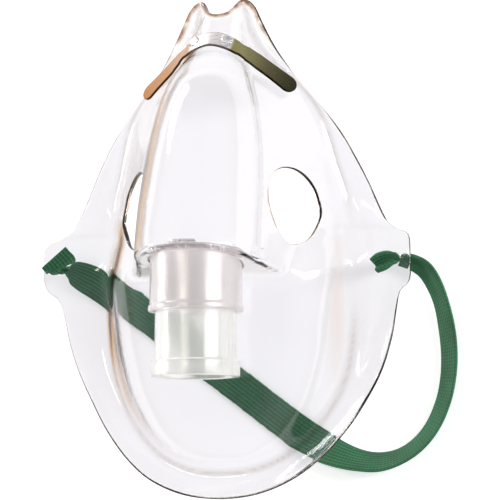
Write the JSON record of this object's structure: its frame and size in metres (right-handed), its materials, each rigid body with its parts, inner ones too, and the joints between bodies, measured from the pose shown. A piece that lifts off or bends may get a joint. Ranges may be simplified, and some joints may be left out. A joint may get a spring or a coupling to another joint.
{
  "type": "aerosol face mask",
  "caption": "Clear soft face mask with an aluminium nose clip, side exhalation holes, a swivelling under-nose port with a push-in tube connector, and a green elastic head strap.",
  "frame": {"origin": "on the resting plane, below the middle of the mask's length and width", "axes": "+Z away from the wearer's face, +Y towards the forehead, +X to the wearer's left"},
  "size_m": [0.1214, 0.1428, 0.0544],
  "materials": {
    "clear_pvc": "clear soft PVC, glossy",
    "collar_pvc": "clear soft PVC, thicker, faintly grey",
    "milky_plastic": "milky translucent hard plastic, satin",
    "aluminium_strip": "bright rolled strip",
    "green_elastic": "ribbed woven elastic, dark green"
  },
  "bodies": {
    "mask": {"mask_shell": "clear_pvc", "nose_clip": "aluminium_strip", "clip_stake_left": "clear_pvc", "clip_stake_right": "clear_pvc", "strap_band": "green_elastic", "strap_left_tail": "green_elastic", "strap_right_tail": "green_elastic"},
    "collar": {"port_collar": "collar_pvc"},
    "connector": {"tube_connector": "milky_plastic"}
  },
  "joints": [
    {"name": "collar_swivel", "type": "hinge", "parent": "mask", "child": "collar", "pos_m": [0, -0.0085, 0.039], "axis": [0, -1, 0], "continuous": true},
    {"name": "connector_pull", "type": "slide", "parent": "collar", "child": "connector", "axis": [0, -1, 0], "range_m": [0, 0.025]}
  ]
}
